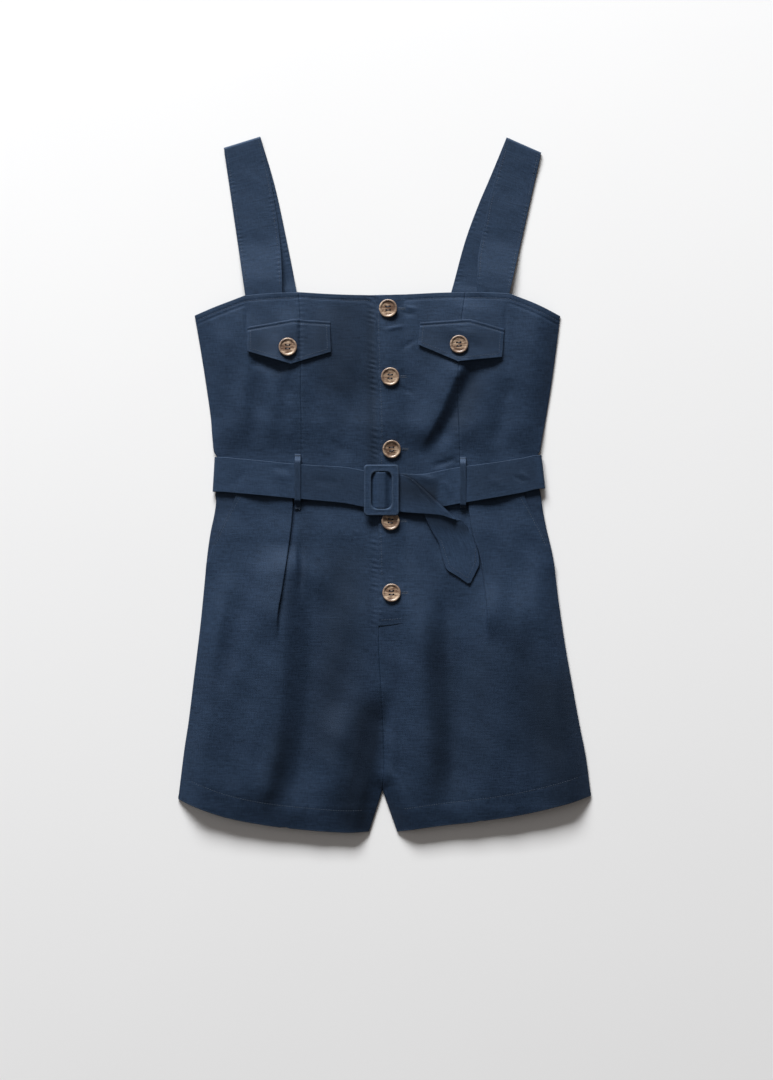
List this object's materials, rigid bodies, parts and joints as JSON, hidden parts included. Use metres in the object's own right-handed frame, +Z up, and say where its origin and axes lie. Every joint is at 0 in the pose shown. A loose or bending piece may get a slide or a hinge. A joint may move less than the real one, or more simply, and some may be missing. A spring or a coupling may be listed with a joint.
{
  "type": "romper",
  "caption": "Sleeveless belted romper in woven cloth, laid flat: square neckline, wide straps, buttoned front, flap pockets and pleated shorts.",
  "frame": {"origin": "centre of the laid-out romper's bounding box, on the surface it lies on", "axes": "+Z up off the surface and out of the romper's front, +Y from hems to neckline and straps, +X to the viewer's right (the wearer's left)"},
  "size_m": [0.4538, 0.7641, 0.0198],
  "materials": {
    "cloth": "navy blue slubbed linen-blend plain weave, matt",
    "button": "brown horn-look resin, mottled, satin"
  },
  "bodies": {
    "root": {"bodice_side_left": "cloth", "bodice_centre_left": "cloth", "bodice_centre_right": "cloth", "bodice_side_right": "cloth", "bodice_back": "cloth", "shorts_front_left": "cloth", "shorts_front_right": "cloth", "shorts_back_left": "cloth", "shorts_back_right": "cloth", "pocket_facing_left": "cloth", "pocket_facing_right": "cloth", "placket": "cloth", "pocket_flap_left": "cloth", "pocket_flap_right": "cloth", "strap_left": "cloth", "strap_right": "cloth", "belt": "cloth", "belt_loop_left": "cloth", "belt_loop_right": "cloth", "buckle": "cloth", "button_placket_1": "button", "button_placket_2": "button", "button_placket_3": "button", "button_placket_4": "button", "button_placket_5": "button", "button_flap_left": "button", "button_flap_right": "button"}
  },
  "joints": []
}
